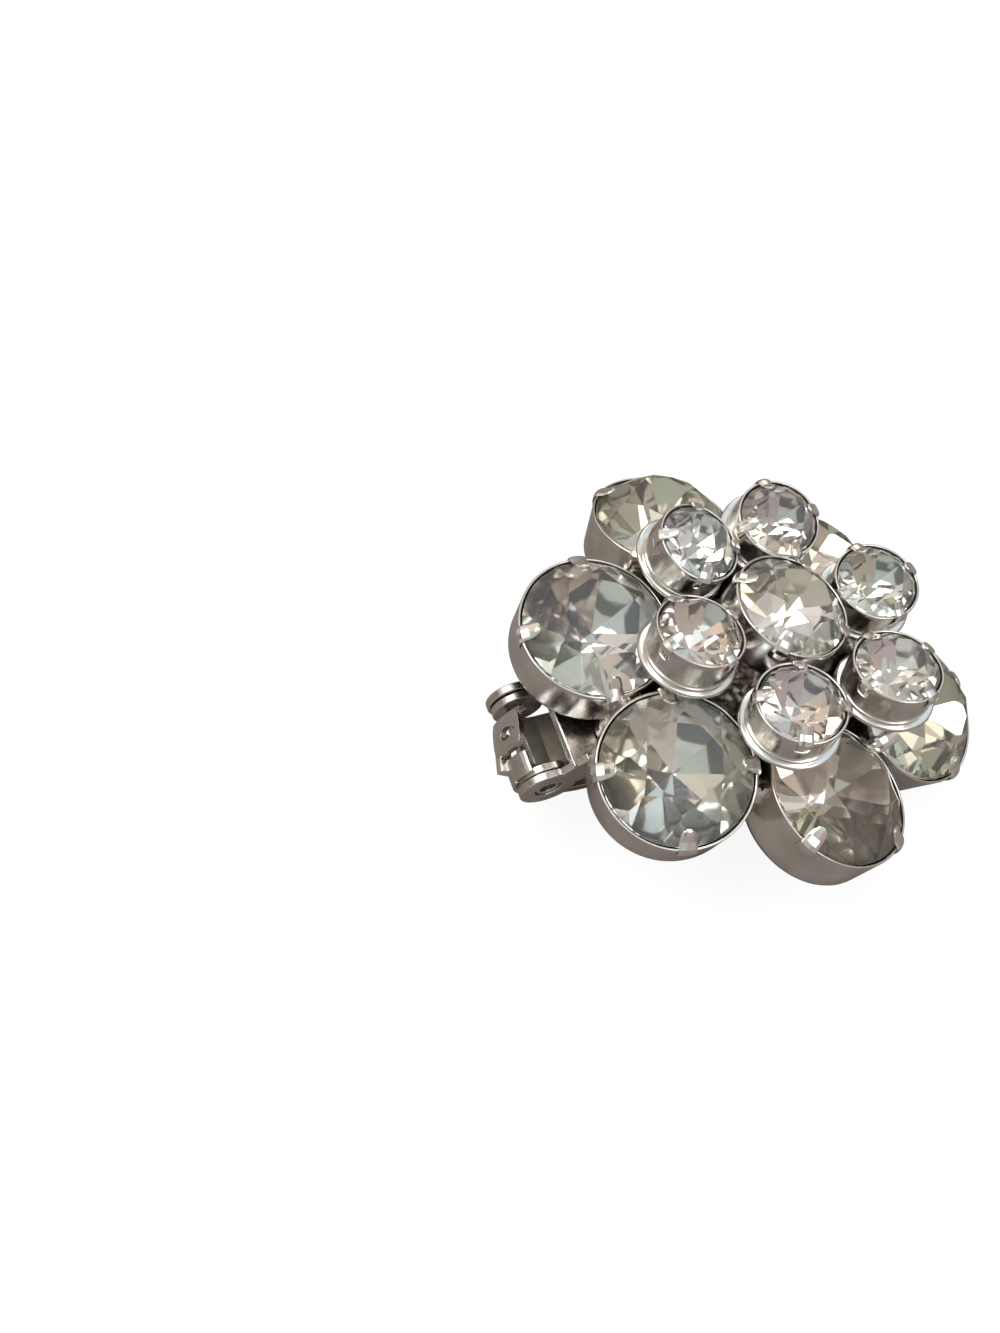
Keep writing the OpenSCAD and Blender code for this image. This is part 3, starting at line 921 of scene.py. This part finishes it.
# %% The bracket
STRIP_BOTTOM = -5.9
FACE_X = -9.4
bracket = slab((-14.5, -2.65, STRIP_BOTTOM + 0.12), (FACE_X + 0.1, 2.85, -5.02))
join_copy(bracket, slab((FACE_X, -2.7, STRIP_BOTTOM), (2.8, 2.9, -5)), Matrix())
join_copy(bracket, slab((-14.55, -3.9, STRIP_BOTTOM + 0.14), (-11, 4.1, -5.04)), Matrix())
for side in (-EAR_IN - EAR_T, EAR_IN):
    join_copy(bracket, ring_plate(EAR_R, HOLE_R, EAR_T), moved(PIN.x, PIN.y + side, PIN.z))
    neck = [
        Station(-12.4, STRIP_BOTTOM + 0.7, 232, EAR_T - 0.03, 3.1),
        Station(-14.3, -7.2, 228, EAR_T - 0.03, 2.6),
    ]
    join_copy(bracket, strip_along(neck, 4), moved(0, PIN.y + side + EAR_T / 2, 0))
bracket_piece = make_piece(bracket, "bracket", [CLIP_METAL])
soften(bracket_piece, 0.12)
print("bracket made")

# %% [markdown]
# The spring is a strip of thinner, brushed sheet that dives from the foot between the ears and
# runs on below the lever's curl. Stations along its path show each bend as a number to change.

# %% The spring tongue
tongue = strip_along(
    [
        Station(-9.9, -5.65, 190, 4.2, 0.45),
        Station(-10.7, -6.1, 222, 4.2, 0.5),
        Station(-11.5, -7.1, 232, 4.2, 0.5),
        Station(-12.3, -8.0, 222, 4.2, 0.5),
        Station(-13.2, -8.5, 195, 4.1, 0.5),
        Station(-14.6, -8.6, 178, 4.0, 0.5),
        Station(-16.0, -8.4, 172, 3.9, 0.45),
    ],
    4,
)
tongue_piece = make_piece(tongue, "spring_tongue", [BRUSHED_METAL], moved(0, PIN.y, 0))
soften(tongue_piece, 0.08)
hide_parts("setting")

# %% [markdown]
# The lever is one bent sheet too: an arch that passes behind the hinge, an arm and a round pad
# with a raised rim. Its stations lie on an arc, so the sheet's two faces stay parallel all along.

# %% The lever's arm and arch
ARCH = Vector((-10.6, 0.1, -8))
ARCH_R = 5.4
ARCH_FROM = 205
ARCH_TO = 291
SHEET_T = 0.9
ARM_T = 0.76


def arch_station(angle, width):
    a = math.radians(angle)
    out = ARCH.x + ARCH_R * math.cos(a)
    up = ARCH.z + ARCH_R * math.sin(a)
    return Station(out, up, angle + 90, width, SHEET_T)


ARCH_STEPS = 16
ARCH_WIDTH = 5.2
arch_ways = [
    arch_station(ARCH_FROM + (ARCH_TO - ARCH_FROM) * k / ARCH_STEPS, ARCH_WIDTH)
    for k in range(ARCH_STEPS + 1)
]
arm_heading = math.radians(ARCH_TO + 90)
ahead = Vector((math.cos(arm_heading), 0, math.sin(arm_heading)))
last = arch_ways[-1]
for distance, width in ((3, 5.0), (5.8, 4.8)):
    tip = Vector((last.out, 0, last.up)) + ahead * distance
    arch_ways.append(Station(tip.x, tip.z, ARCH_TO + 90, width, ARM_T))
arm_bm = strip_along(arch_ways, 4)
arm = make_piece(arm_bm, "lever_arm", [CLIP_METAL], moved(0, ARCH.y, 0), "lever")
soften(arm, 0.12)
print("arm made")

# %% [markdown]
# The pad is the round plate that presses on the back of the lobe. It is spun, floor, rim and all,
# and lies square across the arm's end.

# %% The lever's pad
PAD_AT = 10.2
PAD_R = 4.8
PAD_T = 0.8
RIM_EDGE = 0.3
RIM_TOP = 1.0
RIM_WIDTH = 0.62
pad_floor = -SHEET_T / 2
pad_profile = [(0, pad_floor)]
pad_profile += arc(PAD_R - RIM_EDGE, pad_floor + RIM_EDGE, RIM_EDGE, -90, 0, 4)
pad_profile += arc(PAD_R - RIM_EDGE, pad_floor + RIM_TOP, RIM_EDGE, 0, 180, 8)
pad_profile += [(PAD_R - RIM_WIDTH, pad_floor + PAD_T), (0, pad_floor + PAD_T)]
pad_at = Vector((last.out, ARCH.y, last.up)) + ahead * PAD_AT
pad_place = Matrix.Translation(pad_at) @ turned(270 - ARCH_TO, "Y")
pad = make_piece(spun(pad_profile), "lever_pad", [CLIP_METAL], pad_place, "lever")
print("pad made")

# %% [markdown]
# Between the ears the lever ends in a fork: two round cheeks, a sheet curled round the pin, and a
# heel that the spring tongue presses. The curl is cut away at the far side, so that the tongue
# can be seen, and a tab with a drop-shaped hole stands up in front of it.

# %% The lever's fork
CHEEK_OUT = EAR_IN - 0.1
CHEEK_T = 0.6
CHEEK_R = 2.02
BOSS_R = 0.95
BOSS_HOLLOW_R = 0.6


def curl(start, end, low_y, high_y, radius=2.1, sheet=0.7):
    """A sheet curled about the pin, between two angles and two places along the pin."""
    ways = []
    count = 2 + int(abs(end - start) / 7)
    for k in range(count):
        angle = start + (end - start) * k / (count - 1)
        out = PIN.x + radius * math.cos(math.radians(angle))
        up = PIN.z + radius * math.sin(math.radians(angle))
        ways.append(Station(out, up, angle + 90, high_y - low_y, sheet))
    bm = strip_along(ways, 4)
    bmesh.ops.translate(bm, vec=(0, PIN.y + (low_y + high_y) / 2, 0), verts=bm.verts)
    return bm


fork = curl(172, 290, -3.2, -1.2)
join_copy(fork, curl(262, 288, -1.3, 3.2, 2.1, 0.66), Matrix())
join_copy(fork, curl(128, 178, -3.1, -1.3, 2.2, 0.45), Matrix())
for side in (-CHEEK_OUT, CHEEK_OUT - CHEEK_T):
    join_copy(fork, ring_plate(CHEEK_R, BOSS_HOLLOW_R, CHEEK_T), moved(PIN.x, PIN.y + side, PIN.z))
for side in (-EAR_IN - EAR_T + 0.1, CHEEK_OUT - 0.1):
    boss = ring_plate(BOSS_R, BOSS_HOLLOW_R, EAR_T + 0.1)
    join_copy(fork, boss, moved(PIN.x, PIN.y + side, PIN.z))
fork_piece = make_piece(fork, "lever_fork", [CLIP_METAL], body="lever")
soften(fork_piece, 0.1)
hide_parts("clip_lever")
print("fork made")

# %% [markdown]
# The tab is a rounded rectangle with a drop-shaped hole. Two circles are pushed into those shapes,
# bridged into a flat ring and raised to the sheet's thickness. The real tab was bent a little
# askew, and so is this one, with the heel below it that the spring presses.

# %% The tab with its drop-shaped hole
TAB_T = 0.45
TAB_HALF = (1.7, 1.5)
DROP_HALF = (0.95, 0.34375)
DROP_AT = 0.3
ASKEW = -14
tab = bmesh.new()
tab_outer = bmesh.ops.create_circle(tab, segments=32, radius=1)["verts"]
for vert in tab_outer:
    squarer = 1.25 - 0.25 * abs(math.cos(2 * math.atan2(vert.co.y, vert.co.x)))
    vert.co = Vector((vert.co.x * TAB_HALF[0], vert.co.y * TAB_HALF[1], 0)) * squarer
drop = bmesh.ops.create_circle(tab, segments=32, radius=1)["verts"]
for vert in drop:
    narrowing = 1.2 - vert.co.x
    vert.co = Vector(
        (vert.co.x * DROP_HALF[0] + DROP_AT, vert.co.y * DROP_HALF[1] * narrowing, 0)
    )
tab_edges = list({e for v in tab_outer + drop for e in v.link_edges})
bmesh.ops.bridge_loops(tab, edges=tab_edges)
made = bmesh.ops.extrude_face_region(tab, geom=tab.faces[:], use_keep_orig=True)
raised = [v for v in made["geom"] if isinstance(v, bmesh.types.BMVert)]
bmesh.ops.translate(tab, vec=(0, 0, TAB_T), verts=raised)
bmesh.ops.recalc_face_normals(tab, faces=tab.faces)
tab_place = moved(-17.3, 0.55, -7.4) @ turned(ASKEW, "Z") @ turned(-72, "Y")
tab_piece = make_piece(tab, "lever_tab", [CLIP_METAL], tab_place, "lever")
soften(tab_piece, 0.1)

heel = slab((-0.55, -1.65, -0.35), (0.55, 1.65, 0.35))
heel_place = moved(-17.75, -0.25, -8.95) @ turned(ASKEW, "Z") @ turned(18, "Y")
heel_piece = make_piece(heel, "lever_heel", [PRONG_METAL], heel_place, "lever")
soften(heel_piece, 0.14)
print("tab and heel made")
